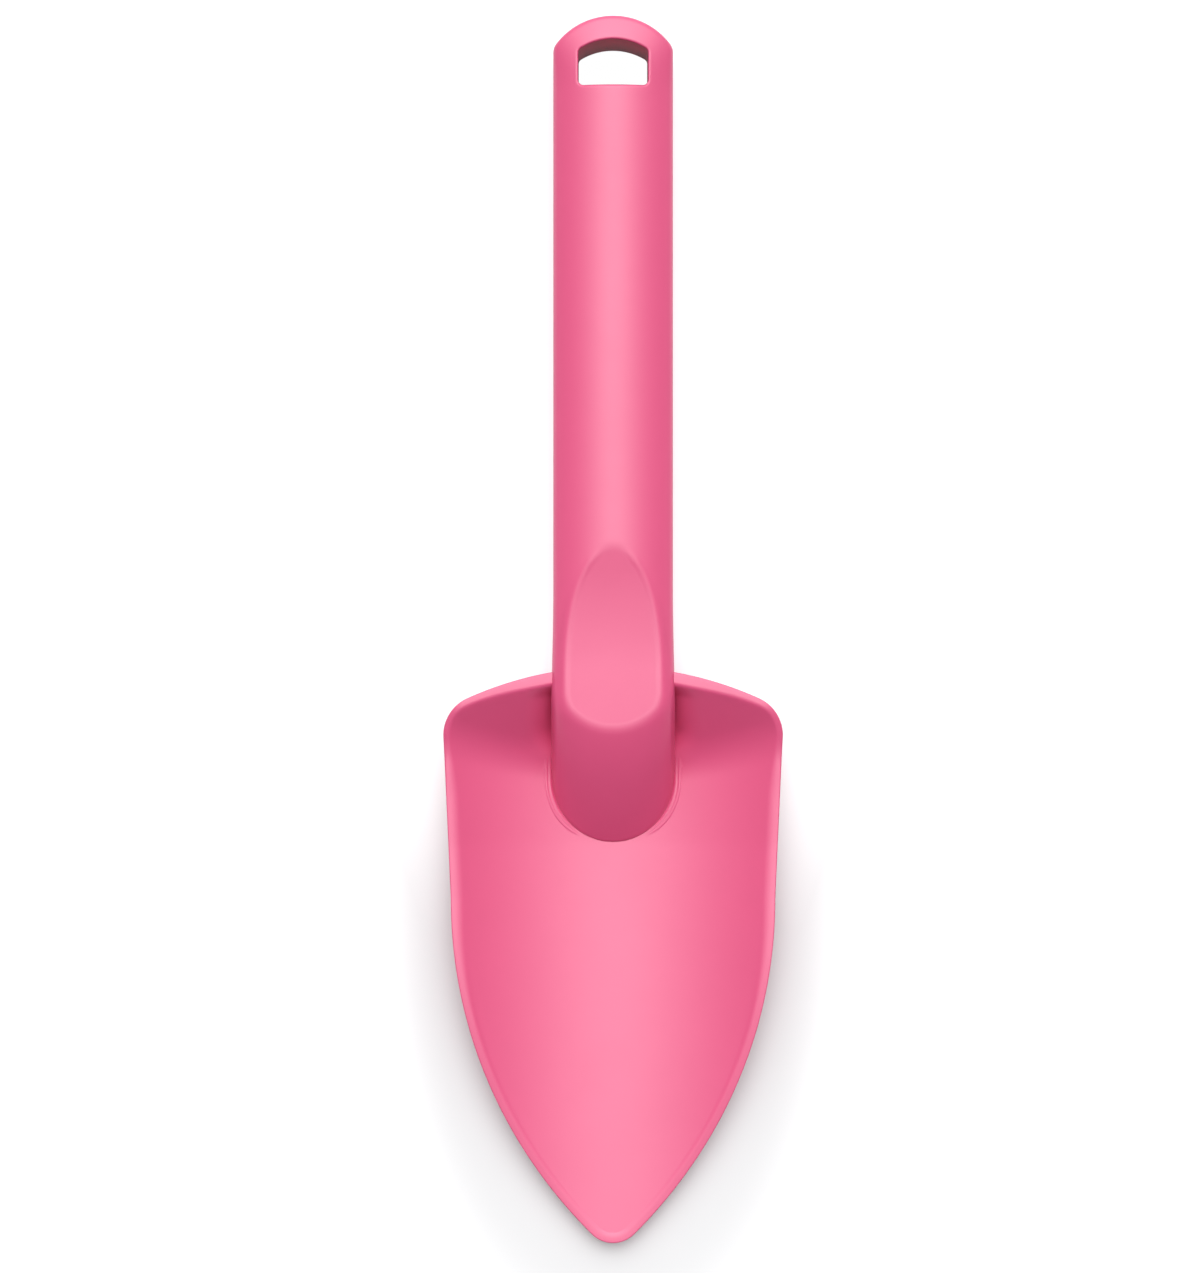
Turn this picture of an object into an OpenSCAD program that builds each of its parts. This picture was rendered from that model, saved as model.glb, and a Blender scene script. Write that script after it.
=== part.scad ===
// Child's sand shovel: a scoop-shaped blade on a hollow handle, with a hang hole and a thumb rest.
// Sizes in millimetres. +Z is up, +Y runs towards the handle's end and -Y towards the blade's tip.
// The origin lies on the ground under the middle of the shovel.

/* [Overall] */
// Whole length, from the handle's end to the blade's tip
shovel_len = 270; // [256:1:300]
// Gap left round pieces that fit into each other
fit_gap = 0.1; // [0.05:0.05:0.25]

/* [Blade] */
// Length of the blade, from the middle of its back rim to its tip
blade_len = 127.8; // [118:0.1:138]
// Width of the blade across its shoulders
blade_w = 74.5; // [68:0.5:82]
// Thickness of the blade
blade_t = 2.2; // [1.6:0.1:2.8]
// Radius of the hollow across the blade
hollow_r = 65; // [60:1:80]
// Height of the back rim
back_h = 16.5; // [14:0.5:17.5]
// Slope of the back wall, in degrees
back_slope = 40; // [36:1:46]
// Radius of the back rim, seen from above
back_r = 77.5; // [72:0.5:100]
// Width of the flat face on the back rim
back_rim_w = 2.5; // [2:0.1:3.4]
// Width of the flat face on the side rims
side_rim_w = 1.8; // [1.2:0.1:2.4]
// Length over which the rim climbs from the sides to the back
rim_climb = 11; // [6:0.5:14]
// Radius of the shoulders, seen from above
shoulder_r = 9; // [6:0.5:12]
// Length of the pointed part, up to where the sides begin to curve in
point_len = 77; // [66:1:88]
// How far each side draws in between the shoulder and the pointed part
side_taper = 1.6; // [0:0.1:3]
// Radius of the tip
tip_r = 6.6; // [3.5:0.1:8]
// Width of the raised lip round the handle's foot
lip_w = 1.5; // [1:0.1:2.5]
// Height of the raised lip
lip_h = 0.6; // [0.3:0.1:1]
// How far forward of the back rim the lip begins
lip_start = 20; // [17:0.5:24]

/* [Handle] */
// Width of the handle
handle_w = 26.2; // [24:0.2:29]
// Height of the handle's ridge above the ground
handle_h = 22; // [20:0.5:25]
// Radius of the arch across the handle
arch_r = 19; // [17:0.5:24]
// Thickness of the handle's walls
handle_wall = 2.4; // [1.8:0.1:3]
// How far the foot reaches forward from the blade's back rim
foot_reach = 38.9; // [35:0.1:44]
// Slope of the nose that runs down to the foot, in degrees
nose_slope = 33.5; // [31:0.1:38]
// How much the nose's radius is larger than half the handle's width
nose_over = 1.2; // [0.8:0.1:2.5]
// Radius of the handle's end, seen from above
end_r = 15; // [14.6:0.1:22]
// Radius of the roll-off that lowers the ridge at the handle's end
roll_r = 60; // [40:1:90]
// Length of the roll-off
roll_len = 16; // [12:0.5:22]
// Number of ribs across the hollow underside
rib_count = 4; // [2:1:6]
// Thickness of the ribs
rib_t = 1.6; // [1.2:0.1:2.4]
// How far the ribs stay above the ground
rib_lift = 4; // [2:0.5:8]

/* [Hang hole] */
// Width of the hang hole
hole_w = 15.2; // [12:0.2:16.4]
// Length of the hang hole along its middle
hole_len = 10; // [8:0.2:12]
// Radius of the hole's edge that faces the handle's end
hole_r = 13.7; // [10:0.1:20]
// Plastic left between the hole and the handle's end
hole_bar = 5.3; // [4.6:0.1:9]

/* [Thumb rest] */
// Depth of the dish below the handle's ridge
dish_dip = 3.2; // [2.4:0.05:3.6]
// Radius of the dish along the handle
dish_r = 120; // [100:1:150]
// How far the dish's lowest place lies forward of the blade's back rim
dish_shift = 0.8; // [-3:0.1:3]
// Thickness of the thumb rest
pad_t = 2.2; // [1.6:0.1:2.8]
// Strip of the handle left round the thumb rest
pad_edge = 0.6; // [0.4:0.1:1.2]
// Radius of the two pegs that hold the thumb rest
peg_r = 1.6; // [1.2:0.1:2.2]
// Length of the pegs below the thumb rest
peg_len = 2; // [1.4:0.1:2.6]
// Distance between the pegs
peg_pitch = 17; // [12:0.5:21]

/* [Hidden] */
$fa = 2;
$fs = 0.4;
plastic = "#ef6f98";

// Overlap that lets a cut run clear of the face that it opens
cut = 1;
// Steps along a curve that is drawn point by point
steps = 36;
// Lift that makes the roll-off cross the ridge at an angle instead of grazing it
roll_lift = 0.2;
// Room beside the handle for the cuts that shape its top
side_room = 2;

half_w = handle_w / 2;
nose_r = half_w + nose_over;
end_y = shovel_len / 2;
tip_y = -shovel_len / 2;
back_y = tip_y + blade_len;
foot_y = back_y - foot_reach;
dish_y = back_y - dish_shift;

// Drop of a circle of radius r at distance x from its top, and half its width at depth d
function sag(r, x) = r - sqrt(r * r - x * x);
function half_chord(r, d) = sqrt(max(0, d * (2 * r - d)));

// Blade seen from above: back arc, shoulders, drawn-in sides, point and tip
blade_half = blade_w / 2;
back_cy = back_y - back_r;
shoulder_x = blade_half - shoulder_r;
shoulder_y = back_cy + sqrt(pow(back_r - shoulder_r, 2) - pow(shoulder_x, 2));
shoulder_turn = atan2(shoulder_x, shoulder_y - back_cy);
point_half = blade_half - side_taper;
point_y = tip_y + point_len;
tip_cy = tip_y + tip_r;
point_r = (pow(point_half, 2) + pow(point_y - tip_cy, 2) - tip_r * tip_r) / (2 * (point_half - tip_r));
point_turn = atan2(point_y - tip_cy, point_r - point_half);

function arc(cx, cy, r, from, to) =
    [for (i = [0 : steps]) let (a = from + (to - from) * i / steps) [cx + r * sin(a), cy + r * cos(a)]];
function mirrored(points) = [for (i = [len(points) - 1 : -1 : 0]) [-points[i].x, points[i].y]];

right_edge = concat(
    arc(0, back_cy, back_r, 0, shoulder_turn),
    arc(shoulder_x, shoulder_y, shoulder_r, shoulder_turn, 90),
    arc(point_half - point_r, point_y, point_r, 90, 90 + point_turn),
    arc(0, tip_cy, tip_r, 90 + point_turn, 180));

// Height of the side rim where the blade is half as wide as x
function rim_z(x) = blade_t + sag(hollow_r, max(0, x - side_rim_w));
point_edge = concat(
    arc(0, tip_cy, tip_r, 180, 90 + point_turn),
    arc(point_half - point_r, point_y, point_r, 90 + point_turn, 90));
climb_y = shoulder_y + rim_climb / 2;

// Nose and foot of the handle: its top line, and where it meets the blade's hollow floor
function nose_z(y) = blade_t + (y - foot_y) * tan(nose_slope);
function foot_edge_y(x) =
    foot_y + sag(nose_r, x) / sin(nose_slope) - sag(hollow_r, x) / tan(nose_slope);

// Dish of the thumb rest: its height, its ends and its edge on the handle's arch and nose
dish_z = handle_h - dish_dip + dish_r;
function dish_top(y) = dish_z - sqrt(dish_r * dish_r - pow(y - dish_y, 2));
dish_along = (foot_y - dish_y) * cos(nose_slope) + (blade_t - dish_z) * sin(nose_slope);
dish_off = pow(foot_y - dish_y, 2) + pow(blade_t - dish_z, 2) - dish_r * dish_r;
pad_front = foot_y - (dish_along + sqrt(dish_along * dish_along - dish_off)) * cos(nose_slope);
pad_back = dish_y + half_chord(dish_r, dish_dip);
pad_mid = (pad_front + pad_back) / 2;
pad_half_len = (pad_back - pad_front) / 2;
pad_half_w = half_chord(arch_r, dish_dip);
function pad_half(y) = min(
    half_chord(arch_r, handle_h - dish_top(y)),
    half_chord(nose_r, (nose_z(y) - dish_top(y)) * cos(nose_slope)));

// Hang hole
hole_top = end_y - hole_bar;
hole_bottom = hole_top - hole_len;

module along_y(r, from, to) {
    translate([0, to, 0])
        rotate([90, 0, 0])
            cylinder(r = r, h = to - from);
}

module across_x(r, width) {
    rotate([0, 90, 0])
        cylinder(r = r, h = width, center = true);
}

module blade_outline() {
    polygon(concat(right_edge, mirrored(right_edge)));
}

// Side view of all that lies under the rim
module under_rim() {
    polygon(concat(
        [[tip_y - cut, -cut], [tip_y - cut, blade_t]],
        [for (p = point_edge) [p.y, rim_z(p.x)]],
        [[climb_y - rim_climb, rim_z(blade_half)], [climb_y, back_h]],
        [[back_y + cut, back_h], [back_y + cut, -cut]]));
}

// Hollow of radius r along the blade, inside a back wall that is back_off thick
module hollow(r, back_off) {
    reach = back_h + cut;
    back_in = back_r - back_rim_w + back_off;
    intersection() {
        translate([0, 0, blade_t + hollow_r])
            along_y(r, tip_y - cut, back_y + cut);
        translate([0, back_cy, -cut])
            cylinder(
                r1 = back_in - reach / tan(back_slope),
                r2 = back_in + reach / tan(back_slope),
                h = 2 * reach);
    }
}

// Foot of the handle seen from above, grown by a distance, with straight sides up to y = to
module foot_outline(grow, to) {
    wide = half_w + grow;
    curve = [for (i = [-steps : steps]) let (x = half_w * i / steps)
        [x * wide / half_w, foot_edge_y(x) - grow]];
    polygon(concat(curve, [[wide, to], [-wide, to]]));
}

module blade() {
    color(plastic)
        difference() {
            intersection() {
                hollow(hollow_r + blade_t, blade_t / sin(back_slope));
                translate([0, 0, -cut])
                    linear_extrude(back_h + 2 * cut)
                        blade_outline();
                rotate([90, 0, 90])
                    linear_extrude(blade_w + 2 * cut, center = true)
                        under_rim();
            }
            difference() {
                hollow(hollow_r, 0);
                difference() {
                    translate([0, 0, -cut])
                        linear_extrude(back_h)
                            foot_outline(fit_gap + lip_w, back_y - lip_start);
                    hollow(hollow_r - lip_h, 0);
                }
            }
            translate([0, 0, -2 * cut])
                linear_extrude(back_h + 4 * cut)
                    foot_outline(fit_gap, back_y + 2 * cut);
        }
}

module handle_outline() {
    arc_y = end_y - end_r;
    room = half_w + side_room;
    curve = [for (i = [-steps : steps]) let (x = half_w * i / steps) [x, foot_edge_y(x)]];
    side = foot_edge_y(half_w);
    intersection() {
        union() {
            polygon(concat(curve, [[room, side], [room, arc_y], [-room, arc_y], [-room, side]]));
            translate([0, arc_y])
                circle(end_r);
        }
        translate([-half_w, foot_y - cut])
            square([handle_w, end_y - foot_y + 2 * cut]);
    }
}

// All that lies above the nose, with the nose's surface moved in by a distance
module above_nose(inset) {
    r = nose_r - inset;
    flank = half_w - inset + nose_over / 2;
    length = (handle_h + nose_r) / sin(nose_slope);
    translate([0, foot_y, blade_t])
        rotate([90 + nose_slope, 0, 0])
            translate([0, -nose_r, -length])
                linear_extrude(length + handle_h)
                    difference() {
                        translate([-half_w - side_room, -nose_r])
                            square([handle_w + 2 * side_room, 2 * (nose_r + handle_h)]);
                        circle(r);
                        translate([-flank, -2 * nose_r])
                            square([2 * flank, 2 * nose_r]);
                    }
}

module dish(extra) {
    translate([0, dish_y, dish_z])
        across_x(dish_r + extra, handle_w + 2 * side_room);
}

// Thumb rest seen from above, drawn in from the dish's edge by a distance
module pad_outline(edge) {
    narrow = (pad_half_w - edge) / pad_half_w;
    short = (pad_half_len - edge) / pad_half_len;
    right = [for (i = [0 : 2 * steps]) let (y = pad_half_len * cos(90 * i / steps))
        [pad_half(pad_mid + y) * narrow, pad_mid + y * short]];
    polygon(concat(right, mirrored([for (i = [1 : 2 * steps - 1]) right[i]])));
}

module at_pegs() {
    for (side = [-1, 1]) {
        y = pad_mid + side * peg_pitch / 2;
        translate([0, y, dish_top(y) - pad_t])
            children();
    }
}

module handle_hollow() {
    inner = half_w - handle_wall;
    hollow_end = hole_bottom - handle_wall;
    curve = [for (i = [-steps : steps]) let (x = half_w * i / steps)
        [x * inner / half_w, foot_edge_y(x) + 2 * handle_wall]];
    difference() {
        intersection() {
            translate([0, 0, -cut])
                linear_extrude(handle_h)
                    polygon(concat(curve, [[inner, hollow_end], [-inner, hollow_end]]));
            translate([0, 0, handle_h - arch_r])
                along_y(arch_r - handle_wall, foot_y - cut, end_y);
        }
        above_nose(handle_wall);
        dish(pad_t + handle_wall);
        for (i = [1 : rib_count])
            translate([0, pad_back + (hollow_end - pad_back) * i / (rib_count + 1), handle_h / 2 + rib_lift])
                cube([handle_w, rib_t, handle_h], center = true);
    }
}

module hang_hole() {
    translate([0, 0, -cut])
        linear_extrude(handle_h + 2 * cut)
            intersection() {
                translate([0, hole_top - hole_r])
                    circle(hole_r);
                translate([-hole_w / 2, hole_bottom])
                    square([hole_w, hole_len + cut]);
            }
}

module roll_off() {
    roll_y = end_y - roll_len;
    difference() {
        translate([-half_w - side_room, roll_y, handle_h / 2])
            cube([handle_w + 2 * side_room, roll_len + cut, handle_h]);
        translate([0, roll_y, handle_h + roll_lift - roll_r])
            across_x(roll_r, handle_w + 4 * side_room);
    }
}

module handle() {
    color(plastic)
        difference() {
            intersection() {
                linear_extrude(handle_h + cut)
                    handle_outline();
                translate([0, 0, handle_h - arch_r])
                    along_y(arch_r, foot_y - cut, end_y + cut);
            }
            above_nose(0);
            roll_off();
            hang_hole();
            handle_hollow();
            dish(0);
            intersection() {
                dish(pad_t);
                linear_extrude(handle_h + cut)
                    pad_outline(pad_edge);
            }
            at_pegs()
                translate([0, 0, -handle_wall - cut])
                    cylinder(r = peg_r + fit_gap, h = handle_wall + 2 * cut);
        }
}

module thumb_rest() {
    color(plastic)
        union() {
            difference() {
                intersection() {
                    dish(pad_t);
                    linear_extrude(handle_h + cut)
                        pad_outline(pad_edge + fit_gap);
                }
                dish(0);
            }
            at_pegs()
                translate([0, 0, -peg_len])
                    cylinder(r = peg_r, h = peg_len + pad_t / 2);
        }
}

blade();
handle();
thumb_rest();
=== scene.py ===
import math

import bpy
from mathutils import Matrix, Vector


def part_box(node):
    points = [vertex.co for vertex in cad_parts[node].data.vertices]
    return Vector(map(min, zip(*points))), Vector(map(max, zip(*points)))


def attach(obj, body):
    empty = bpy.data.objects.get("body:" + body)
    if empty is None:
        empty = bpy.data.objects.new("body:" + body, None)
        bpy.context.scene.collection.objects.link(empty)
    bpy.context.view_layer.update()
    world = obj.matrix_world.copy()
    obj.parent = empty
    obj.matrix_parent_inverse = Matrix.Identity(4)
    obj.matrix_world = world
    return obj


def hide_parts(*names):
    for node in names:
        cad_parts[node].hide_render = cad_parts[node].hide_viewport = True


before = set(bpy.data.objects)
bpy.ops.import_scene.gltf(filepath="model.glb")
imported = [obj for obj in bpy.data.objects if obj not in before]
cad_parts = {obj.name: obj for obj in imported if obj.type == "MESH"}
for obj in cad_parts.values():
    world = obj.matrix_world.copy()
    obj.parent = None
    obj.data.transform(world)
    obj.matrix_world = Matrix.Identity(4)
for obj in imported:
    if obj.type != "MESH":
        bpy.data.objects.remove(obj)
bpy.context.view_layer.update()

mm = 0.001                     # shapes are worked out in millimetres and placed in metres
bladeLow, bladeHigh = (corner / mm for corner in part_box("blade"))
handleLow, handleHigh = (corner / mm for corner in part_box("handle"))
tipY = bladeLow.y
endY = handleHigh.y
footY = handleLow.y
bladeHalf = bladeHigh.x
backTop = bladeHigh.z
handleHalf = handleHigh.x
ridgeZ = handleHigh.z
print("frame: %.0f mm long, blade %.0f mm wide" % (endY - tipY, 2 * bladeHalf))

meshDetail = {
    "sewGap": 0.0008,          # points closer than this are sewn into one, mm
    "middleGap": 0.0005,       # points closer than this to the middle plane lie on it, mm
    "smoothAngle": 40,         # edges that turn by more degrees than this stay sharp
    "cornerSteps": 8,          # faces round a rounded edge
    "crestSteps": 12,          # faces over the edges of the hang hole and the dish
}


# Small sums that all the pieces share
def sag(radius, across):                     # drop of a circle at a distance from its top
    return radius - math.sqrt(max(radius * radius - across * across, 0))


def softMin(a, b, blend):                    # the lower surface, with the crease rounded
    near = max(blend - abs(a - b), 0) / blend
    return min(a, b) - near * near * blend / 4


def softMax(a, b, blend):                    # the higher surface, the same way
    return -softMin(-a, -b, blend)


def ease(value):                             # 0 to 1 with a soft start and stop
    value = min(max(value, 0), 1)
    return value * value * (3 - 2 * value)


def between(a, b, share):
    return a + (b - a) * share


def mix(a, b, share):                        # the same for points
    return tuple(between(p, q, share) for p, q in zip(a, b))


def arc(cx, cy, radius, start, stop, steps=60):   # degrees clockwise from +Y
    turns = [math.radians(start + (stop - start) * i / steps) for i in range(steps + 1)]
    return [(cx + radius * math.sin(a), cy + radius * math.cos(a)) for a in turns]


def evenly(path, count):                     # points at even steps along a path
    walked = [0.0]
    for a, b in zip(path, path[1:]):
        walked.append(walked[-1] + math.dist(a, b))
    points = []
    k = 0
    for i in range(count + 1):
        want = walked[-1] * i / count
        while k < len(path) - 2 and walked[k + 1] < want:
            k += 1
        span = max(walked[k + 1] - walked[k], 1e-9)
        points.append(mix(path[k], path[k + 1], min((want - walked[k]) / span, 1)))
    return points


def joined(stretches, counts):               # stretches in even steps, each shared point once
    path = []
    for stretch, count in zip(stretches, counts):
        path += evenly(stretch, count)[1 if path else 0:]
    return path


def inwardOf(right):                         # unit steps inwards from a right-hand edge, +Y end first
    before = [(-right[1][0], right[1][1])] + right[:-1]
    after = right[1:] + [(-right[-2][0], right[-2][1])]
    steps = []
    for (ax, ay), (bx, by) in zip(before, after):
        size = math.hypot(bx - ax, by - ay)
        steps.append(((by - ay) / size, (ax - bx) / size))
    return steps


def stepIn(point, inward, distance):
    return (point[0] + inward[0] * distance, point[1] + inward[1] * distance)


def bend(a, corner, c, steps):               # soft corner from a to c
    shares = [i / steps for i in range(steps + 1)]
    return [mix(mix(a, corner, share), mix(corner, c, share), share) for share in shares]


def crossing(above, low, high, halvings=50):      # where a rising height difference passes zero
    for halving in range(halvings):
        middle = (low + high) / 2
        if above(middle) > 0:
            high = middle
        else:
            low = middle
    return (low + high) / 2


# Mesh steps
def deselect():
    bpy.ops.object.select_all(action="DESELECT")


def pick(piece, kind, test):                 # in edit mode, the faces or edges whose ends pass a test
    bpy.ops.object.mode_set(mode="EDIT")
    bpy.ops.mesh.select_mode(type=kind)
    bpy.ops.mesh.select_all(action="DESELECT")
    bpy.ops.object.mode_set(mode="OBJECT")
    for item in piece.data.polygons if kind == "FACE" else piece.data.edges:
        item.select = test([piece.data.vertices[v].co for v in item.vertices])
    bpy.ops.object.mode_set(mode="EDIT")


def sewSkin(name, columns):                  # a grid wrapped round a piece, column by column, and sewn shut
    across = len(columns) - 1
    along = len(columns[0]) - 1
    sewGap = meshDetail["sewGap"] * mm
    middleGap = meshDetail["middleGap"] * mm
    deselect()
    bpy.ops.mesh.primitive_grid_add(x_subdivisions=across, y_subdivisions=along, size=1)
    piece = bpy.context.object
    piece.name = name
    piece.data.name = name
    for vertex in piece.data.vertices:
        i = round((vertex.co.x + 0.5) * across)
        j = round((vertex.co.y + 0.5) * along)
        vertex.co = Vector(columns[i][j]) * mm
    bpy.ops.object.mode_set(mode="EDIT")
    bpy.ops.mesh.select_all(action="SELECT")
    bpy.ops.mesh.remove_doubles(threshold=sewGap)
    bpy.ops.mesh.dissolve_degenerate(threshold=sewGap)
    # webs on the middle plane, where the skin parts round an opening
    pick(piece, "FACE", lambda ends: max(abs(end.x) for end in ends) < middleGap)
    bpy.ops.mesh.delete(type="ONLY_FACE")
    bpy.ops.mesh.select_all(action="SELECT")
    bpy.ops.mesh.normals_make_consistent(inside=False)
    bpy.ops.object.mode_set(mode="OBJECT")
    return piece


def mirrorColumns(right):                    # right-hand columns, their mirror images, and the first again
    left = [[(-x, y, z) for x, y, z in column] for column in reversed(right[1:-1])]
    return right + left + right[:1]


def slab(name, right, low, high):            # a flat outline, filled and extruded
    outline = right + [(-x, y) for x, y in reversed(right) if abs(x) > meshDetail["middleGap"]]
    deselect()
    bpy.ops.mesh.primitive_circle_add(vertices=len(outline), fill_type="NGON")
    piece = bpy.context.object
    piece.name = name
    for vertex, (x, y) in zip(piece.data.vertices, outline):
        vertex.co = Vector((x, y, low)) * mm
    bpy.ops.object.mode_set(mode="EDIT")
    bpy.ops.mesh.select_all(action="SELECT")
    bpy.ops.mesh.extrude_region_move(TRANSFORM_OT_translate={"value": (0, 0, (high - low) * mm)})
    bpy.ops.mesh.select_all(action="SELECT")
    bpy.ops.mesh.normals_make_consistent(inside=False)
    bpy.ops.object.mode_set(mode="OBJECT")
    return piece


def carve(piece, tool, operation="DIFFERENCE"):
    deselect()
    bpy.context.view_layer.objects.active = piece
    step = piece.modifiers.new("carve", "BOOLEAN")
    step.object = tool
    step.operation = operation
    step.solver = "EXACT"
    bpy.ops.object.modifier_apply(modifier=step.name)
    bpy.data.objects.remove(tool)


def smooth(piece):
    deselect()
    piece.select_set(True)
    bpy.context.view_layer.objects.active = piece
    bpy.ops.object.shade_smooth_by_angle(angle=math.radians(meshDetail["smoothAngle"]))


# Foot of the handle: where its nose meets the blade's hollow floor
footShape = {
    "noseSlope": 32.3,         # degrees
    "noseRise": 17,            # from the foot up to the thumb rest, mm
    "noseBulge": 1.6,          # how far the nose swells above its straight slope
    "length": 14.2,            # of the foot's rounded end
    "floorThickness": 2.2,
    "hollowRadius": 65,        # of the blade's floor, across it
    "sunk": 0.15,              # how far the foot's edge is let into the blade, so that no light shows
    "flare": 0.5,              # how much wider the handle grows on each side down to its foot
    "flareFrom": 10,           # mm along the handle
    "flareTo": -22,
    "sideSteps": 30,
}
noseTan = math.tan(math.radians(footShape["noseSlope"]))
noseCos = math.cos(math.radians(footShape["noseSlope"]))
footHalf = handleHalf + footShape["flare"]


def handleSide(y):                           # half the handle's width
    start = footShape["flareFrom"]
    return handleHalf + footShape["flare"] * ease((start - y) / (start - footShape["flareTo"]))


def footEdge(x):                             # the foot's rounded end, half an ellipse
    share = min(abs(x) / footHalf, 1)
    return footY + footShape["length"] * (1 - math.sqrt(1 - share * share))


def footTurns(count):                        # places across the foot, from its side to the middle
    return [footHalf * math.sin(math.radians(90 * (1 - i / count))) for i in range(count + 1)]


def noseAt(x, y):                            # straight lines up from the foot's edge, a little swollen
    rise = (y - footEdge(x)) * noseTan
    climb = min(max(rise / footShape["noseRise"], 0), 1)
    floor = footShape["floorThickness"] + sag(footShape["hollowRadius"], x) * (1 - climb)
    return floor + rise + footShape["noseBulge"] * 4 * climb * (1 - climb)


def footPath(grow, top, count):              # right-hand side of the foot seen from above, +Y end first
    start = footEdge(footHalf)
    steps = footShape["sideSteps"]
    path = [top + (start - top) * i / steps for i in range(steps)]
    path = [(handleSide(y) + grow, y) for y in path]
    wide = (footHalf + grow) / footHalf
    return path + [(x * wide, footEdge(x) - grow) for x in footTurns(count)]


# Blade
bladeShape = {
    "length": 128,
    "backRadius": 77.5,
    "backSlope": 38,           # degrees
    "backRim": 2.5,            # width of the rim's face at the back, mm
    "cornerRim": 1.3,          # the same at the shoulders
    "narrowFrom": 14,          # mm from the middle, where the back rim starts to narrow
    "narrowOver": 20,
    "sideRim": 1.8,
    "sideOver": 14,            # mm down from the shoulders, over which the back rim turns into the side's
    "pointRim": 1.7,           # along the point, down to the tip
    "pointOver": 30,           # mm along the point, over which the side's rim turns into the point's
    "pointBead": 0.16,         # how far the rim stands up along the point
    "shoulderRadius": 9,
    "pointLength": 77,
    "sideTaper": 1.6,          # how far each side draws in from the shoulders to the point
    "tipRadius": 6.6,
    "tipShort": 0.4,           # how far the tip stays inside the CAD box
    "tipLift": 2.4,            # how far the floor rises from the foot to the tip
    "crease": 3.6,             # softness between the floor and the back wall
    "rimCrease": 0.4,          # softness between the back wall and the rim
    "backSoft": 0.4,           # softness of the rim's inner edge at the back
    "sideSoft": 1.1,
    "pointSoft": 0.6,
    "backRound": 0.5,          # rounding of the rim's outer edge at the back
    "sideRound": 0.3,
    "roundShare": 0.45,        # most of the rim's thickness that the rounding takes
    "underShare": 0.4,         # rounding of the lower edge, as a share of the upper edge's
    "grooveDepth": 3.6,        # how much lower the back wall runs beside the handle
    "grooveWidth": 7,
    "grooveTop": 2.2,          # height below the rim, over which the groove begins
    "grooveFoot": 5,           # height above the floor, over which it ends
    "notchBack": 5,            # where the notch for the foot begins, mm along the handle
    "notchLow": -5,            # the notch's cutter passes right through
    "notchHigh": 30,
    "footSteps": 90,
    "columns": 250,
    "rows": 44,
}


def bladeEdge():                             # right-hand edge of the blade, +Y end first
    shape = bladeShape
    backY = tipY + shape["length"]
    backCentre = backY - shape["backRadius"]
    turn = shape["shoulderRadius"]
    shoulderX = bladeHalf - turn
    shoulderY = backCentre + math.sqrt((shape["backRadius"] - turn) ** 2 - shoulderX ** 2)
    shoulderTurn = math.degrees(math.atan2(shoulderX, shoulderY - backCentre))
    pointHalf = bladeHalf - shape["sideTaper"]
    pointY = tipY + shape["pointLength"]
    tipR = shape["tipRadius"]
    tipCentre = tipY + shape["tipShort"] + tipR
    rise = pointY - tipCentre
    pointR = (pointHalf ** 2 + rise ** 2 - tipR ** 2) / (2 * (pointHalf - tipR))
    pointTurn = math.degrees(math.atan2(rise, pointR - pointHalf))
    path = arc(0, backCentre, shape["backRadius"], 0, shoulderTurn)
    path += arc(shoulderX, shoulderY, turn, shoulderTurn, 90)[1:]
    path += arc(pointHalf - pointR, pointY, pointR, 90, 90 + pointTurn)
    path += arc(0, tipCentre, tipR, 90 + pointTurn, 180)[1:]
    return path, backCentre, shoulderY


bladePath, backCentre, shoulderY = bladeEdge()
wallTan = math.tan(math.radians(bladeShape["backSlope"]))
wallSin = math.sin(math.radians(bladeShape["backSlope"]))
thick = footShape["floorThickness"]
hollowR = footShape["hollowRadius"]


def backRimAt(x):                            # the back rim narrows towards the shoulders
    shape = bladeShape
    narrow = ease((abs(x) - shape["narrowFrom"]) / shape["narrowOver"])
    return between(shape["backRim"], shape["cornerRim"], narrow)


def tipRise(y):
    return bladeShape["tipLift"] * max(footY - y, 0) / (footY - tipY)


def groove(x, wall, floor):                  # how far the wall falls away beside the handle
    shape = bladeShape
    near = min(max(1 - (abs(x) - handleHalf) / shape["grooveWidth"], 0), 1)
    belowRim = ease((backTop - wall) / shape["grooveTop"])
    aboveFloor = ease((wall - floor) / shape["grooveFoot"])
    return shape["grooveDepth"] * near * near * belowRim * aboveFloor


def bladeFloor(x, y):
    hollow = thick + sag(hollowR, x) + tipRise(y)
    reach = bladeShape["backRadius"] - backRimAt(x)
    wall = backTop + (math.hypot(x, y - backCentre) - reach) * wallTan
    wall -= groove(x, wall, hollow)
    return softMin(softMax(hollow, wall, bladeShape["crease"]), backTop, bladeShape["rimCrease"])


def bladeUnder(x, y):
    hollow = sag(hollowR + thick, x) + tipRise(y)
    reach = bladeShape["backRadius"] - bladeShape["backRim"] + thick / wallSin
    wall = backTop + (math.hypot(x, y - backCentre) - reach) * wallTan
    wall -= groove(x, wall + thick / noseCos, hollow + thick)
    return softMax(hollow, wall, bladeShape["crease"])


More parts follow.
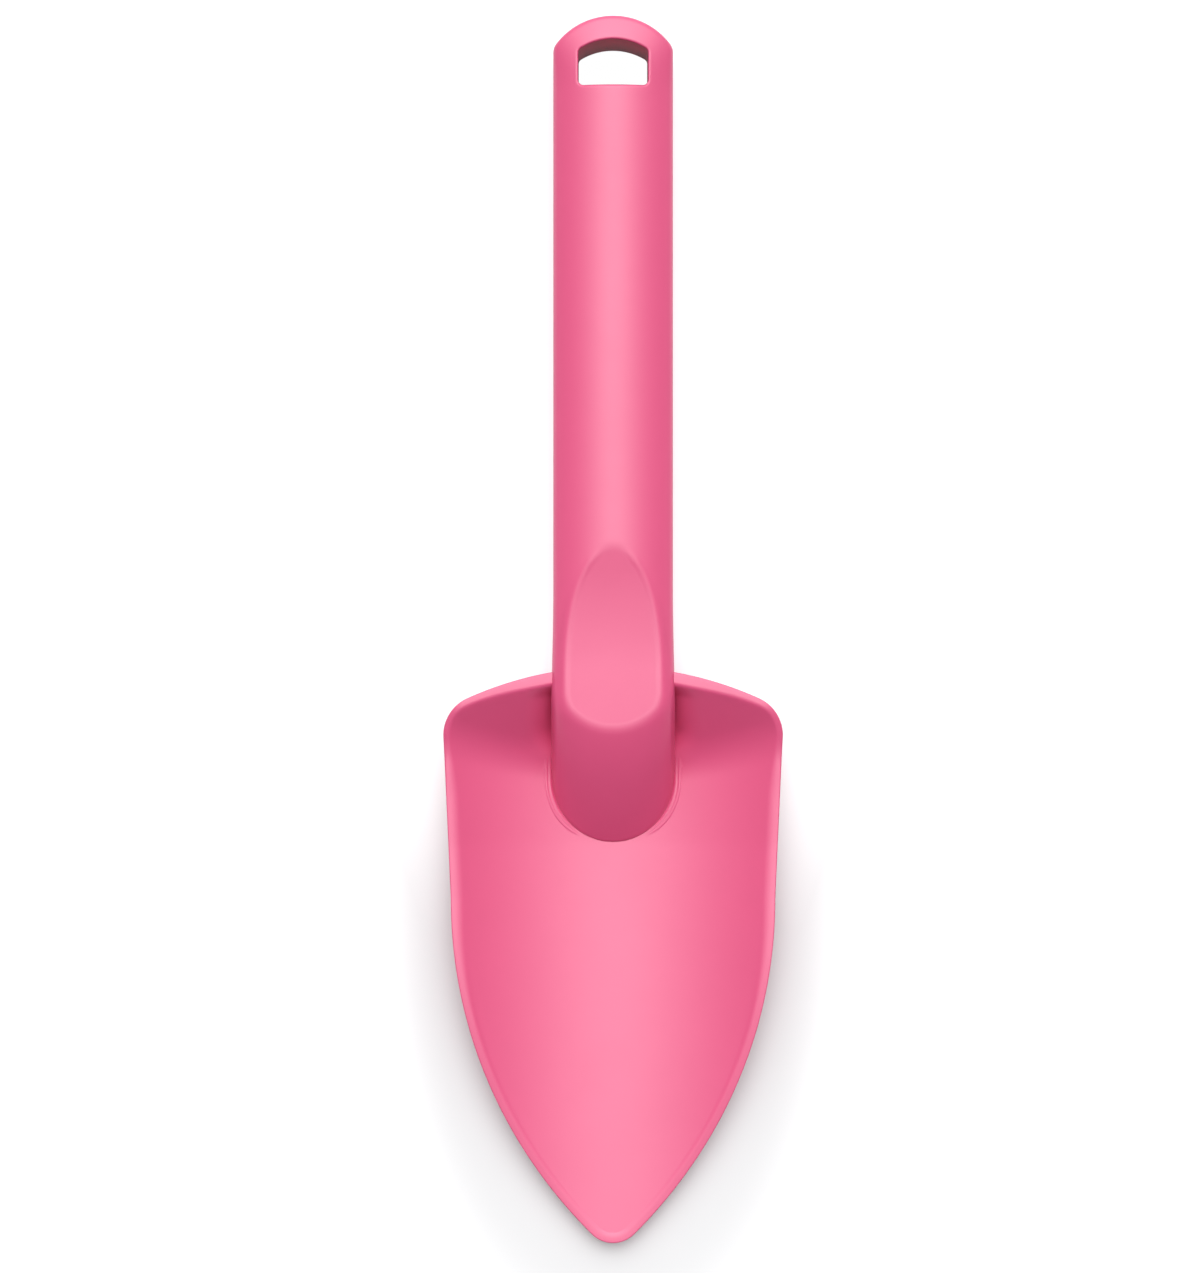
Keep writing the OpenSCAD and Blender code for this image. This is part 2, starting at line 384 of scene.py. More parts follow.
def bladeColumn(point, inward, spine):       # over the floor and the rim, and back underneath
    shape = bladeShape
    steps = meshDetail["cornerSteps"]
    x, y = point
    sideways = ease((shoulderY - y) / shape["sideOver"])
    pointed = ease((tipY + shape["pointLength"] - y) / shape["pointOver"])

    def along(back, side, tip):              # a size that changes round the edge
        return between(between(back, side, sideways), tip, pointed)

    def at(inset, z):
        return (*stepIn(point, inward, inset), z)

    rim = along(backRimAt(x), shape["sideRim"], shape["pointRim"])
    softIn = along(shape["backSoft"], shape["sideSoft"], shape["pointSoft"])
    softOut = along(shape["backSoft"], shape["sideRim"] - shape["sideRound"], shape["pointSoft"])
    top = bladeFloor(*stepIn(point, inward, rim)) + shape["pointBead"] * pointed
    low = bladeUnder(x, y)
    edge = between(shape["backRound"], shape["sideRound"], sideways)
    edge = min(edge, shape["roundShare"] * (top - low))
    turn = shape["underShare"] * edge
    start = stepIn(point, inward, rim + softIn)
    under = stepIn(point, inward, turn)
    above = [mix((0, spine), start, i / shape["rows"]) for i in range(shape["rows"])]
    below = [mix(under, (0, spine), i / shape["rows"]) for i in range(1, shape["rows"] + 1)]
    column = [(px, py, bladeFloor(px, py)) for px, py in above]
    column += bend((*start, bladeFloor(*start)), at(rim, top), at(rim - softOut, top), steps)
    column += bend(at(edge, top), at(0, top), at(0, top - edge), steps)
    column += bend(at(0, low + turn), at(0, low), (*under, bladeUnder(*under)), steps // 2)
    return column + [(px, py, bladeUnder(px, py)) for px, py in below]


lipShape = {                   # double bead on the blade's floor, round the handle's foot
    "width": 1.5,
    "height": 0.2,
    "depth": 1,                # how deep it reaches into the floor, mm
    "top": -25,                # where it fades out beside the handle, mm along it
    "topFade": 6,
    "front": 5,                # mm from the middle, where it fades out in front of the foot
    "frontFade": 7,
    "frontWidth": 0.3,         # share of its width that is left there
    "beads": (0.22, 0.72),     # middles of the two beads, as shares of the width
    "beadHalf": 0.3,           # half a bead's width, the same way
    "dip": 0.5,                # how far it falls beside the beads, as a share of the height
    "sunk": 0.3,               # how far it is sunk where it has faded out, the same way
    "columns": 160,
}
lipShares = [i / 10 for i in range(-3, 13)]  # across the lip, and a little past both its sides


def makeLip():
    shape = lipShape
    path = evenly(footPath(0, shape["top"], bladeShape["footSteps"]), shape["columns"])
    inward = inwardOf(path)
    inward[0] = (-1, 0)                      # the upper ends stop square to the handle
    rows = []
    for point, side in zip(path, inward):
        front = ease((point[0] - shape["front"]) / shape["frontFade"])
        fade = ease((shape["top"] - point[1]) / shape["topFade"]) * front
        wide = shape["width"] * between(shape["frontWidth"], 1, front)
        section = []
        for share in lipShares:
            beads = [1 - ((share - middle) / shape["beadHalf"]) ** 2 for middle in shape["beads"]]
            lift = max(*beads, -shape["dip"]) * fade - shape["sunk"] * (1 - fade)
            px, py = stepIn(point, side, -share * wide)
            section.append((px, py, bladeFloor(px, py) + shape["height"] * lift))
        section += [(x, y, z - shape["depth"]) for x, y, z in reversed(section)]
        rows.append(section + section[:1])
    rows += [[(-x, y, z) for x, y, z in row] for row in reversed(rows[:-1])]
    first, last = ([mix(row[0], row[len(row) // 2], 0.5)] * len(row) for row in (rows[0], rows[-1]))
    return sewSkin("lip", [first, *rows, last])


def makeBlade():
    shape = bladeShape
    path = evenly(bladePath, shape["columns"])
    spineTop = path[0][1] - shape["backRim"] - shape["backSoft"]
    spineEnd = path[-1][1] + shape["pointRim"] + shape["pointSoft"]
    columns = []
    for i, (point, side) in enumerate(zip(path, inwardOf(path))):
        spine = spineTop + (spineEnd - spineTop) * i / (len(path) - 1)
        columns.append(bladeColumn(point, side, spine))
    blade = sewSkin("blade_skin", mirrorColumns(columns))
    carve(blade, makeLip(), "UNION")
    notch = footPath(-footShape["sunk"], shape["notchBack"], shape["footSteps"])
    carve(blade, slab("footNotch", notch, shape["notchLow"], shape["notchHigh"]))
    smooth(blade)
    print("blade: %d faces" % len(blade.data.polygons))
    return blade


# Handle
handleShape = {
    "archRadius": 19,
    "noseSoft": 1.2,           # softness between the arch and the nose, mm
    "endRadius": 16,           # of the end seen from above
    "endCorner": 3,
    "rollRadius": 60,          # of the top's fall towards the end
    "rollLength": 16,
    "endFlat": 0.45,           # how much of the arch is lost in the flatter end
    "endFlatFrom": 16,         # mm from the end
    "endFlatOver": 14,
    "sideRound": 0.9,          # rounding of the edges along both sides
    "endRound": 1,
    "endRoundFrom": 16,        # mm from the end, where the sides' rounding turns into the end's
    "endRoundOver": 10,
    "footRound": 0.12,
    "footRoundFrom": 12,       # mm from the foot, where the foot's rounding turns into the sides'
    "footRoundOver": 18,
    "baseRound": ((0, 0.5), (0.15, 0.13), (0.5, 0)),   # inset and height of points round the lower edge
    "holeWidth": 15.2,
    "holeLength": 10,
    "holeRadius": 13.7,
    "holeBar": 5.3,            # plastic left between the hole and the end
    "holeCorner": 1.2,
    "holeRound": 0.7,          # rounding of the hole's upper edge
    "holeUnder": 0.4,          # rounding of its lower edge
    "holeMargin": 1.2,         # mm below the hole, where the columns leave it
    "holeClear": 9,            # mm below the hole, where they run straight across
    "holeColumns": 110,
    "belowColumns": 40,
    "gripColumns": 110,
    "dishColumns": 120,
    "footStart": 4,            # mm behind the dish's front, where the foot's columns begin
    "footSteps": 120,
    "leadPoints": 5,           # points of a column before the crest of the hole or the dish
    "rows": 30,
}
dishShape = {                  # the thumb rest and its place in the handle
    "dip": 3.2,
    "back": 19.5,              # where the dish begins, mm along the handle
    "slope": 11.2,             # degrees, down to the flat part
    "soft": 2,                 # softness between the slope and the flat part
    "flatSlope": 0.012,        # the flat part falls slightly to the front
    "thickness": 2.2,
    "strip": 1.45,             # strip of the handle round the thumb rest, more than its edge's rounding
    "edgeRound": 1.3,
    "bead": 0.15,              # height of the rolled edge
    "beadBack": 4,             # mm from the dish's back, over which it rises
    "beadFront": 2,            # mm from the dish's front, where it has gone
    "beadFrontOver": 10,
    "gap": 0.05,               # round the thumb rest below its edge, and round its pegs
    "edgeStraight": 0.2,       # height of the thumb rest's edge that fills its place, mm
    "edgeSlant": 0.4,          # below its top, where the gap is reached
    "pegRadius": 1.6,
    "pegLength": 2,
    "pegPitch": 17,
    "pegSides": 48,
    "boreDepth": 4,            # the bore's cutter, below and above the pocket's floor
    "boreRise": 1,
    "edgeSteps": 240,
    "rows": 20,
}
pocketShares = (0, 0.4, 0.8, 1)              # points across the pocket, from the middle to its side


def dishTop(y):
    slope = ridgeZ + (y - dishShape["back"]) * math.tan(math.radians(dishShape["slope"]))
    flat = ridgeZ - dishShape["dip"] + dishShape["flatSlope"] * y
    return softMax(slope, flat, dishShape["soft"])


def roof(x, y):                              # the handle's top, without the dish
    shape = handleShape
    flat = 1 - shape["endFlat"] * ease((y - endY + shape["endFlatFrom"]) / shape["endFlatOver"])
    arch = ridgeZ - sag(shape["archRadius"], x) * flat
    fall = sag(shape["rollRadius"], max(0, y - endY + shape["rollLength"]))
    return softMin(arch, noseAt(x, y), shape["noseSoft"]) - fall


padBack = dishShape["back"]
padFront = crossing(lambda y: roof(0, y) - dishTop(y), footY, 0)
padMid = (padBack + padFront) / 2
padHalfLength = (padBack - padFront) / 2
holeBottom = endY - handleShape["holeBar"] - handleShape["holeLength"]


def dishHalf(y):                             # half the width of the dish's edge
    return crossing(lambda x: dishTop(y) - roof(x, y), 0, handleHalf)


def dishEdge():                              # right-hand edge of the dish, +Y end first
    steps = dishShape["edgeSteps"]
    places = [padMid + padHalfLength * math.cos(math.pi * i / steps) for i in range(1, steps)]
    return [(0, padBack), *((dishHalf(y), y) for y in places), (0, padFront)]


def holeEdge():                              # right-hand edge of the hang hole, two stretches, +Y end first
    shape = handleShape
    half = shape["holeWidth"] / 2
    turn = shape["holeCorner"]
    centre = endY - shape["holeBar"] - shape["holeRadius"]
    cornerY = centre + math.sqrt((shape["holeRadius"] - turn) ** 2 - (half - turn) ** 2)
    cornerTurn = math.degrees(math.atan2(half - turn, cornerY - centre))
    path = arc(0, centre, shape["holeRadius"], 0, cornerTurn)
    path += arc(half - turn, cornerY, turn, cornerTurn, 90, steps=20)[1:]
    path += arc(half - turn, holeBottom + turn, turn, 90, 180, steps=20)
    return path, [path[-1], (0, holeBottom)]


def handleEdge():                            # right-hand edge of the handle, five stretches, +Y end first
    shape = handleShape
    turn = shape["endCorner"]
    centre = endY - shape["endRadius"]
    cornerY = centre + math.sqrt((shape["endRadius"] - turn) ** 2 - (handleHalf - turn) ** 2)
    cornerTurn = math.degrees(math.atan2(handleHalf - turn, cornerY - centre))
    footStart = padFront + shape["footStart"]
    steps = footShape["sideSteps"]
    end = arc(0, centre, shape["endRadius"], 0, cornerTurn)
    end += arc(handleHalf - turn, cornerY, turn, cornerTurn, 90, steps=30)[1:]
    end += [(handleHalf, holeBottom - shape["holeMargin"])]
    below = [end[-1], (handleHalf, holeBottom - shape["holeClear"])]
    grip = [below[-1], (handleHalf, padBack)]
    side = [padBack + (footStart - padBack) * i / steps for i in range(steps + 1)]
    side = [(handleSide(y), y) for y in side]
    foot = footPath(0, footStart, shape["footSteps"])
    return end, below, grip, side, foot


def holeLead(inner, inward):                 # from under the hole's edge up its wall to the handle's top
    shape = handleShape
    edge = shape["holeRound"]
    under = shape["holeUnder"]
    top = roof(*inner)
    away = stepIn(inner, inward, -edge)
    lead = bend((*stepIn(inner, inward, -under), 0), (*inner, 0), (*inner, under), shape["leadPoints"] - 1)
    return lead + bend((*inner, top - edge), (*inner, top), (*away, roof(*away)), meshDetail["crestSteps"])


def dishLead(inner, inward):                 # over the pocket's floor, up its side, over the dish's edge
    shape = dishShape
    y = inner[1]
    away = stepIn(inner, inward, -shape["edgeRound"])
    near = stepIn(inner, inward, shape["edgeRound"])
    strip = stepIn(inner, inward, shape["strip"])
    pocket = dishTop(strip[1]) - shape["thickness"]
    lead = [(*mix((0, strip[1]), strip, share), pocket) for share in pocketShares]
    lead.append((*strip, dishTop(strip[1])))
    steps = meshDetail["crestSteps"]
    crest = bend((*near, dishTop(near[1])), (*inner, dishTop(y)), (*away, roof(*away)), steps)
    bead = shape["bead"] * ease((padBack - y) / shape["beadBack"])
    bead *= ease((y - padFront - shape["beadFront"]) / shape["beadFrontOver"])
    for i, (px, py, pz) in enumerate(crest):
        lead.append((px, py, pz + bead * (1 - (2 * i / steps - 1) ** 2) ** 2))
    return lead


def handleColumn(kind, inner, innerInward, point, inward):
    shape = handleShape
    y = inner[1]
    if kind == "hole":
        lead = holeLead(inner, innerInward)
    elif kind == "dish":
        lead = dishLead(inner, innerInward)
    else:
        lead = [(0, y, roof(0, y))] * (shape["leadPoints"] + meshDetail["crestSteps"] + 1)
    fromFoot = ease((y - footY - shape["footRoundFrom"]) / shape["footRoundOver"])
    toEnd = ease((y - endY + shape["endRoundFrom"]) / shape["endRoundOver"])
    turn = between(between(shape["footRound"], shape["sideRound"], fromFoot), shape["endRound"], toEnd)
    start = lead[-1][:2]
    stop = stepIn(point, inward, turn)
    column = lead[:-1]
    for i in range(shape["rows"] + 1):
        px, py = mix(start, stop, i / shape["rows"])
        column.append((px, py, roof(px, py)))
    top = roof(*point)
    column += bend(column[-1], (*point, top), (*point, top - turn), meshDetail["cornerSteps"])[1:]
    column += [(*stepIn(point, inward, inset), z) for inset, z in shape["baseRound"]]
    column.append(lead[0] if kind == "hole" else (0, y, 0))
    return column


cavityShape = {                # hollow underside of the handle
    "wall": 2.4,
    "corner": 1.5,             # rounding of its corners seen from above, mm
    "noseMargin": 1.5,         # how much further out the nose is measured, so that its wall stays thick
    "soft": 1,                 # softness between the parts of its ceiling
    "low": 0.3,                # least height of the ceiling
    "round": 0.8,              # rounding of the ceiling's edge
    "edgeLow": 0.1,            # least height of that rounding
    "open": -1,                # height of the cutter's lower side, under the handle
    "spineIn": 1,              # how far the spine stays inside both ends
    "ribs": 4,
    "ribThickness": 1.6,
    "ribLift": 4,              # how far the ribs stay above the ground
    "ribRound": 0.45,
    "ribWidth": 2.2,           # of the rib's cutter, in half widths of the handle
    "footSteps": 60,
    "columns": 150,
    "rows": 16,
}


def ceiling(x, y):
    shape = cavityShape
    wall = shape["wall"]
    arch = ridgeZ - wall - sag(handleShape["archRadius"] - wall, x)
    nose = noseAt(min(abs(x) + shape["noseMargin"], footHalf), y) - wall / noseCos
    dish = dishTop(y) - dishShape["thickness"] - wall
    return max(softMin(softMin(arch, nose, shape["soft"]), dish, shape["soft"]), shape["low"])


def makeRib(y):
    shape = cavityShape
    steps = meshDetail["cornerSteps"] // 2
    lift = shape["ribLift"] * mm
    hair = 0.01 * mm                         # room for rounding when edges are picked
    deselect()
    bpy.ops.mesh.primitive_cube_add(size=1, location=(0, y * mm, lift + ridgeZ / 2 * mm))
    rib = bpy.context.object
    rib.scale = (shape["ribWidth"] * handleHalf * mm, shape["ribThickness"] * mm, ridgeZ * mm)
    bpy.ops.object.transform_apply(location=True, rotation=True, scale=True)

    def longAndLow(ends):
        return max(end.z for end in ends) < lift + hair and abs(ends[0].x - ends[1].x) > hair

    pick(rib, "EDGE", longAndLow)
    bpy.ops.mesh.bevel(offset=shape["ribRound"] * mm, segments=steps, affect="EDGES")
    bpy.ops.object.mode_set(mode="OBJECT")
    return rib


def makeCavity():                            # the hollow underside, parted by ribs
    shape = cavityShape
    wall = shape["wall"]
    inner = handleHalf - wall
    corner = shape["corner"]
    end = holeBottom - wall
    path = [(0, end)] + arc(inner - corner, end - corner, corner, 0, 90, steps=12)
    path += [(x * inner / footHalf, footEdge(x) + 2 * wall) for x in footTurns(shape["footSteps"])]
    path = evenly(path, shape["columns"])
    spineTop = end - shape["spineIn"]
    spineEnd = footY + 2 * wall + shape["spineIn"]
    columns = []
    for i, (point, side) in enumerate(zip(path, inwardOf(path))):
        spine = (0, spineTop + (spineEnd - spineTop) * i / (len(path) - 1))
        stop = stepIn(point, side, shape["round"])
        column = [mix(spine, stop, k / shape["rows"]) for k in range(shape["rows"] + 1)]
        column = [(px, py, ceiling(px, py)) for px, py in column]
        top = ceiling(*point)
        low = max(top - shape["round"], shape["edgeLow"])
        column += bend(column[-1], (*point, top), (*point, low), meshDetail["cornerSteps"] // 2)[1:]
        columns.append(column + [(*point, shape["open"]), (*spine, shape["open"])])
    cavity = sewSkin("cavity", mirrorColumns(columns))
    for i in range(shape["ribs"]):
        carve(cavity, makeRib(padBack + (end - padBack) * (i + 1) / (shape["ribs"] + 1)))
    return cavity


def pegPlaces():                             # place along the handle and height of the pocket's floor there
    places = [padMid + way * dishShape["pegPitch"] / 2 for way in (-1, 1)]
    return [(y, dishTop(y) - dishShape["thickness"]) for y in places]


def peg(radius, low, high, y):
    middle = (0, y * mm, (high + low) / 2 * mm)
    deselect()
    bpy.ops.mesh.primitive_cylinder_add(vertices=dishShape["pegSides"], radius=radius * mm,
                                        depth=(high - low) * mm, location=middle)
    piece = bpy.context.object
    bpy.ops.object.transform_apply(location=True, rotation=True, scale=True)
    return piece


def makeHandle():
    shape = handleShape
    counts = (shape["holeColumns"], shape["belowColumns"], shape["gripColumns"],
              shape["dishColumns"] // 2, shape["dishColumns"] // 2)
    outer = joined(handleEdge(), counts)
    hole = joined(holeEdge(), counts)
    dish = evenly(dishEdge(), shape["dishColumns"])
    gripTop = holeBottom - shape["holeRound"]
    gripEnd = padBack + dishShape["edgeRound"]
    grip = [(0, gripTop + (gripEnd - gripTop) * i / counts[2]) for i in range(1, counts[2])]
    inner = [("hole", place, inward) for place, inward in zip(hole, inwardOf(hole))]
    inner += [("grip", place, (0, 0)) for place in grip]
    inner += [("dish", place, inward) for place, inward in zip(dish, inwardOf(dish))]
    columns = []
    for (kind, place, innerInward), point, inward in zip(inner, outer, inwardOf(outer)):
        columns.append(handleColumn(kind, place, innerInward, point, inward))
    handle = sewSkin("handle_skin", mirrorColumns(columns))
    carve(handle, makeCavity())
    bore = dishShape["pegRadius"] + dishShape["gap"]
    for y, z in pegPlaces():
        carve(handle, peg(bore, z - dishShape["boreDepth"], z + dishShape["boreRise"], y))
    smooth(handle)
    print("handle: %d faces" % len(handle.data.polygons))
    return handle


# Thumb rest
def makeThumbRest():
    shape = dishShape
    edge = evenly(dishEdge(), handleShape["dishColumns"])
    inward = inwardOf(edge)
    path = [stepIn(place, side, shape["strip"]) for place, side in zip(edge, inward)]
    base = shape["thickness"] - shape["gap"]
    columns = []
    for i, point in enumerate(path):
        low = stepIn(point, inward[i], shape["gap"])
        spine = (0, path[0][1] + (path[-1][1] - path[0][1]) * i / (len(path) - 1))
        top = dishTop(point[1])
        column = [mix(spine, point, k / shape["rows"]) for k in range(shape["rows"] + 1)]
        column = [(px, py, dishTop(py)) for px, py in column]
        column += [(*point, top - shape["edgeStraight"]), (*low, top - shape["edgeSlant"])]
        columns.append(column + [(*low, top - base), (*spine, dishTop(spine[1]) - base)])
    pad = sewSkin("thumb_rest_pad", mirrorColumns(columns))
    for y, z in pegPlaces():
        carve(pad, peg(shape["pegRadius"], z - shape["pegLength"], z + shape["thickness"] / 2, y), "UNION")
    smooth(pad)
    print("thumb rest: %d faces" % len(pad.data.polygons))
    return pad


# Materials
def linearOf(hexColour):                     # sRGB hex to linear light
    shades = [int(hexColour[i:i + 2], 16) / 255 for i in (1, 3, 5)]
    return [s / 12.92 if s <= 0.04045 else ((s + 0.055) / 1.055) ** 2.4 for s in shades] + [1]


def addNode(tree, kind, sockets=None, **settings):
    node = tree.nodes.new(kind)
    for name, value in settings.items():
        setattr(node, name, value)
    for name, value in (sockets or {}).items():
        if isinstance(value, bpy.types.NodeSocket):
            tree.links.new(value, node.inputs[name])
        else:
            node.inputs[name].default_value = value
    return node


def emptyTree(owner):                        # a material's or a world's node tree, cleared
    owner.use_nodes = True
    owner.node_tree.nodes.clear()
    return owner.node_tree


plasticLook = {
    "colour": "#d8527e",
    "roughness": 0.38,
    "ior": 1.52,
    "shine": 0.8,              # specular level
    "grain": 0.5,              # size of the moulded grain, drawn coarse enough to show, mm
    "grainDepth": 0.012,       # mm
    "grainStrength": 0.5,
    "cloud": 14,               # size of the faint clouds in the pigment and the finish, mm
    "cloudColour": "#d34e7a",
    "cloudRoughness": 0.06,
}
padLook = {**plasticLook, "roughness": 0.47}


def mouldedPolypropylene(finish, look):      # an even pink with soft highlights and the mould's faint grain
    material = bpy.data.materials.new("polypropylene moulded " + finish)
    tree = emptyTree(material)
    place = addNode(tree, "ShaderNodeTexCoord").outputs["Object"]
    grain = addNode(tree, "ShaderNodeTexNoise", {
        "Vector": place, "Scale": 1 / (look["grain"] * mm), "Detail": 2.0, "Roughness": 0.5})
    bump = addNode(tree, "ShaderNodeBump", {
        "Height": grain.outputs["Fac"], "Strength": look["grainStrength"],
        "Distance": look["grainDepth"] * mm})
    cloud = addNode(tree, "ShaderNodeTexNoise", {
        "Vector": place, "Scale": 1 / (look["cloud"] * mm), "Detail": 3.0, "Roughness": 0.6})
    colour = addNode(tree, "ShaderNodeMix", {
        "Factor": cloud.outputs["Fac"], "A": linearOf(look["colour"]),
        "B": linearOf(look["cloudColour"])}, data_type="RGBA")
    rough = addNode(tree, "ShaderNodeMapRange", {
        "Value": cloud.outputs["Fac"], "To Min": look["roughness"] - look["cloudRoughness"] / 2,
        "To Max": look["roughness"] + look["cloudRoughness"] / 2})
    shader = addNode(tree, "ShaderNodeBsdfPrincipled", {
        "Base Color": colour.outputs["Result"], "Roughness": rough.outputs["Result"],
        "IOR": look["ior"], "Specular IOR Level": look["shine"], "Normal": bump.outputs["Normal"]})
    addNode(tree, "ShaderNodeOutputMaterial", {"Surface": shader.outputs["BSDF"]})
    return material


# Stage
stageLook = {
    "size": 6,                 # of the paper, m
    "floor": "#d4d4d5",
    "glow": 0.44,              # painted light: glow seen by the camera and in reflections that keeps the paper white beside the handle and hides its shadow there
    "lowGlow": 0.05,           # the same painted glow, kept low beside the blade's point, where the shadow shows
    "glowFrom": -70,           # mm along the shovel, where the one gives way to the other
    "glowTo": -10,
    "farMiddle": -62,          # mm along the shovel, the middle of the shadow round the blade
    "farStretch": 0.5,         # how much narrower than long that shadow is
    "farFrom": 40,             # mm from that middle, where the painted glow rises again and fades the blade's shadow out
    "farTo": 62,
    "holeRadius": 12,          # disc under the hang hole, painted white to the camera over its shadow and black to light, mm
    "holePaintedReflection": 0.2,          # painted reflection: how much of the disc's painted white the hole's wall mirrors
    "sky": 0.23,
    "skyLean": 0.23,           # how much brighter the sky is over the handle's end
    "key": 4.3,                # soft light over the shovel
    "keyLean": 26,             # degrees from straight up towards the handle's end
    "keySpread": 6,            # lower is wider
    "top": 1.35,               # smaller light straight above
    "topSpread": 16,
}


def mattPaper():                             # grey enough to keep the shadow, with painted light that makes it white where it is seen and hides the handle's shadow
    look = stageLook
    material = bpy.data.materials.new("paper matt with painted white")
    tree = emptyTree(material)
    place = addNode(tree, "ShaderNodeTexCoord").outputs["Object"]
    path = addNode(tree, "ShaderNodeLightPath").outputs
    seen = addNode(tree, "ShaderNodeMath", {
        0: path["Is Glossy Ray"], 1: path["Is Transmission Ray"]}, operation="ADD")
    seen = addNode(tree, "ShaderNodeMath", {
        0: seen.outputs[0], 1: path["Is Camera Ray"]}, operation="ADD")

    # a disc under the hang hole, painted black so that it sends no light back up into it and deepens the
    # shade on the hole's wall
    holeMiddle = (0, (holeBottom + handleShape["holeLength"] / 2) * mm, 0)
    away = addNode(tree, "ShaderNodeVectorMath", {0: place, 1: holeMiddle}, operation="DISTANCE")
    paintedHoleDisc = addNode(tree, "ShaderNodeMath", {
        0: away.outputs["Value"], 1: look["holeRadius"] * mm}, operation="LESS_THAN")
    colour = addNode(tree, "ShaderNodeMix", {
        "Factor": paintedHoleDisc.outputs[0], "A": linearOf(look["floor"]), "B": (0, 0, 0, 1)}, data_type="RGBA")
    paper = addNode(tree, "ShaderNodeBsdfDiffuse", {"Color": colour.outputs["Result"]})
    # painted light: the disc shows plain white to the camera in place of the shadow under the handle, and a
    # share of it as a painted reflection in the hole's wall
    hole = addNode(tree, "ShaderNodeMath", {
        0: path["Is Glossy Ray"], 1: look["holePaintedReflection"], 2: path["Is Camera Ray"]},
        operation="MULTIPLY_ADD")

    # the painted glow, which whitens the paper and lifts its shadow beside the handle and again far from
    # the blade
    parts = addNode(tree, "ShaderNodeSeparateXYZ", {"Vector": place})
    white = addNode(tree, "ShaderNodeMapRange", {
        "Value": parts.outputs["Y"],
        "From Min": look["glowFrom"] * mm, "From Max": look["glowTo"] * mm,
        "To Min": look["lowGlow"], "To Max": look["glow"]}, interpolation_type="SMOOTHSTEP")
    stretch = look["farStretch"]
    middle = addNode(tree, "ShaderNodeVectorMath", {
        0: place, 1: (1, stretch, 1)}, operation="MULTIPLY")
    middle = addNode(tree, "ShaderNodeVectorMath", {
        0: middle.outputs[0], 1: (0, stretch * look["farMiddle"] * mm, 0)}, operation="DISTANCE")
    far = addNode(tree, "ShaderNodeMapRange", {
        "Value": middle.outputs["Value"],
        "From Min": look["farFrom"] * mm, "From Max": look["farTo"] * mm,
        "To Min": look["lowGlow"], "To Max": look["glow"]}, interpolation_type="SMOOTHSTEP")
    white = addNode(tree, "ShaderNodeMath", {
        0: far.outputs[0], 1: white.outputs[0]}, operation="MAXIMUM")
    white = addNode(tree, "ShaderNodeMath", {
        0: seen.outputs[0], 1: white.outputs[0]}, operation="MULTIPLY")
    strength = addNode(tree, "ShaderNodeMix", {
        "Factor": paintedHoleDisc.outputs[0], "A": white.outputs[0], "B": hole.outputs[0]}, data_type="FLOAT")
    # painted light on the paper: glow that lifts its shadow, and the white of the disc under the hang hole
    glow = addNode(tree, "ShaderNodeEmission", {"Strength": strength.outputs["Result"]})
    both = addNode(tree, "ShaderNodeAddShader", {0: paper.outputs[0], 1: glow.outputs[0]})

    # clear from below, so that the underside can be looked at
    clear = addNode(tree, "ShaderNodeBsdfTransparent")
    below = addNode(tree, "ShaderNodeNewGeometry").outputs["Backfacing"]
    sheet = addNode(tree, "ShaderNodeMixShader", {0: below, 1: both.outputs[0], 2: clear.outputs[0]})
    addNode(tree, "ShaderNodeOutputMaterial", {"Surface": sheet.outputs[0]})
    return material


def makeFloor():
    deselect()
    bpy.ops.mesh.primitive_plane_add(size=stageLook["size"], location=(0, 0, 0))
    floor = bpy.context.object
    floor.name = "floor"
    floor.data.materials.append(mattPaper())


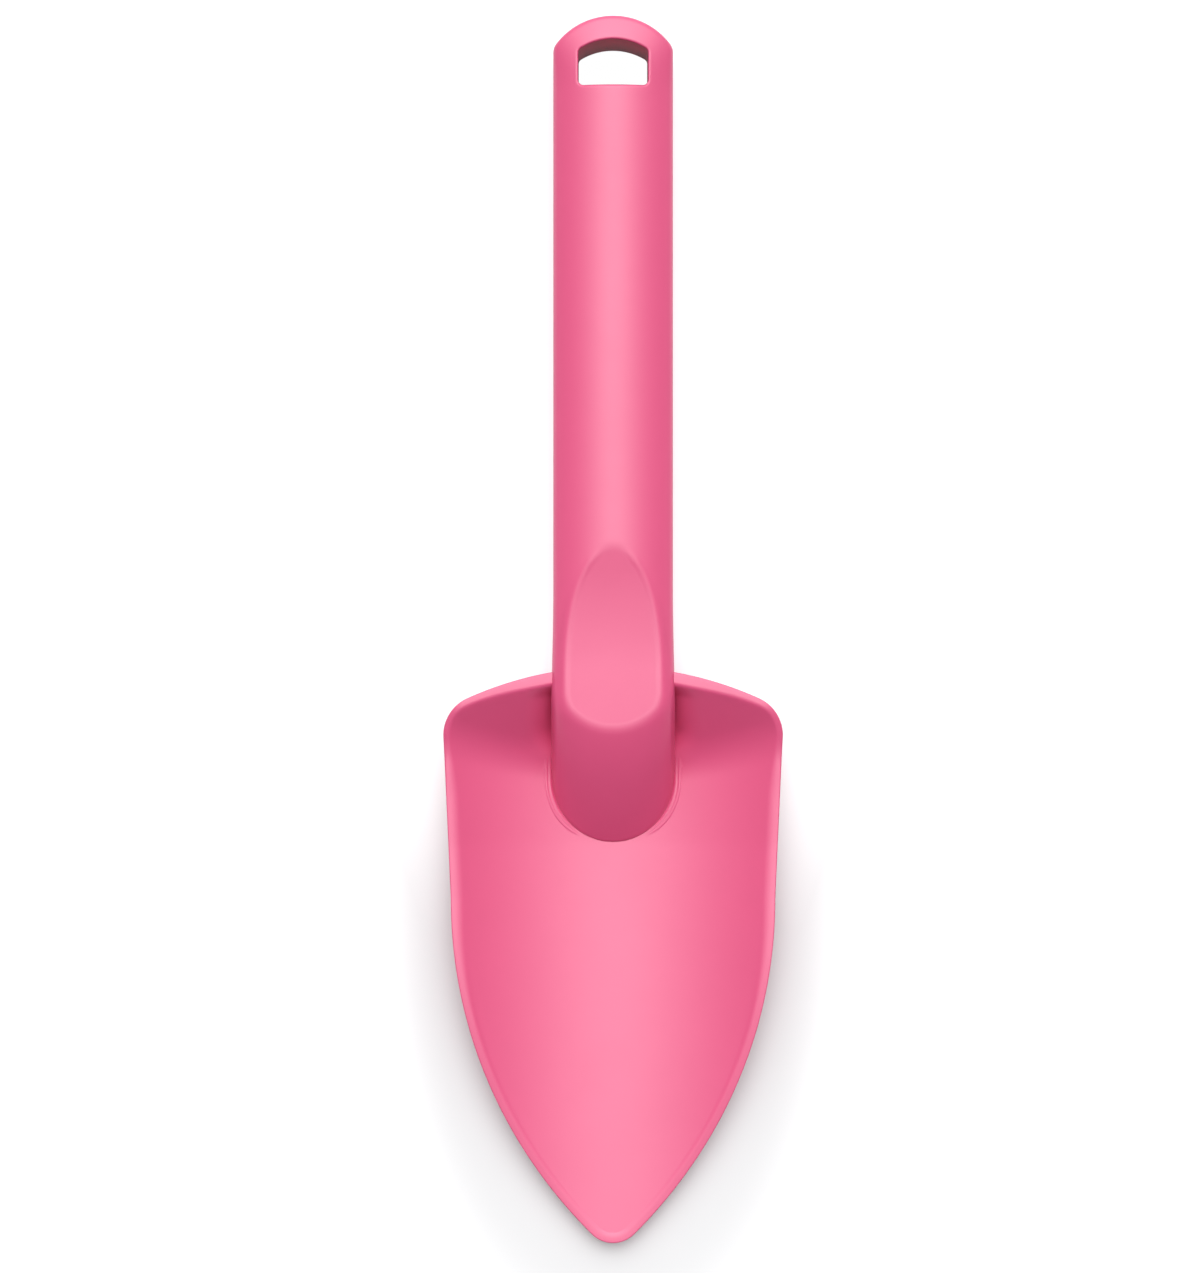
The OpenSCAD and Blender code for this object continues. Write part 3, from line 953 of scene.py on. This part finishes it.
def makeLight():                             # a sky with two soft lobes, plain white to the camera
    look = stageLook
    world = bpy.data.worlds.new("soft box and sky")
    bpy.context.scene.world = world
    tree = emptyTree(world)
    way = addNode(tree, "ShaderNodeTexCoord").outputs["Generated"]
    parts = addNode(tree, "ShaderNodeSeparateXYZ", {"Vector": way})
    level = addNode(tree, "ShaderNodeMath", {
        0: parts.outputs["Y"], 1: look["skyLean"], 2: look["sky"]}, operation="MULTIPLY_ADD").outputs[0]
    lobes = ((look["keyLean"], look["key"], look["keySpread"]), (0, look["top"], look["topSpread"]))
    for lean, strength, spread in lobes:
        aim = (0, math.sin(math.radians(lean)), math.cos(math.radians(lean)))
        facing = addNode(tree, "ShaderNodeVectorMath", {0: way, 1: aim}, operation="DOT_PRODUCT")
        facing = addNode(tree, "ShaderNodeMath", {
            0: facing.outputs["Value"], 1: 0.0}, operation="MAXIMUM")
        lobe = addNode(tree, "ShaderNodeMath", {0: facing.outputs[0], 1: spread}, operation="POWER")
        level = addNode(tree, "ShaderNodeMath", {
            0: lobe.outputs[0], 1: strength, 2: level}, operation="MULTIPLY_ADD").outputs[0]
    light = addNode(tree, "ShaderNodeBackground", {"Color": (1, 1, 1, 1), "Strength": level})
    plain = addNode(tree, "ShaderNodeBackground", {"Color": (1, 1, 1, 1), "Strength": 1.0})
    seen = addNode(tree, "ShaderNodeLightPath").outputs["Is Camera Ray"]   # gloss still mirrors the light
    both = addNode(tree, "ShaderNodeMixShader", {0: seen, 1: light.outputs[0], 2: plain.outputs[0]})
    addNode(tree, "ShaderNodeOutputWorld", {"Surface": both.outputs[0]})


cameraLook = {
    "height": 1000,            # mm above the floor, straight down
    "across": -2.87,
    "along": -0.38,
    "scale": 0.21912,          # mm in a pixel of the 1200 by 1273 image
    "scaleHeight": 14,         # mm above the floor, where that holds
    "imageHeight": 1273,
    "sensor": 36,
}


def makeCamera():
    look = cameraLook
    place = [look[name] * mm for name in ("across", "along", "height")]
    bpy.ops.object.camera_add(location=place, rotation=(0, 0, 0))
    camera = bpy.context.object
    distance = look["height"] - look["scaleHeight"]
    camera.data.sensor_width = look["sensor"]
    camera.data.lens = look["sensor"] * distance / look["scale"] / look["imageHeight"]
    bpy.context.scene.camera = camera


makeCamera()
satin = mouldedPolypropylene("satin", plasticLook)
matt = mouldedPolypropylene("matt", padLook)
for piece, node, plastic in ((makeBlade(), "blade", satin), (makeHandle(), "handle", satin),
                             (makeThumbRest(), "thumb_rest", matt)):
    piece.data.materials.clear()
    piece.data.materials.append(plastic)
    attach(piece, "root")
    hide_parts(node)
makeFloor()
makeLight()
bpy.context.scene.view_settings.view_transform = "Standard"

print("stage set")
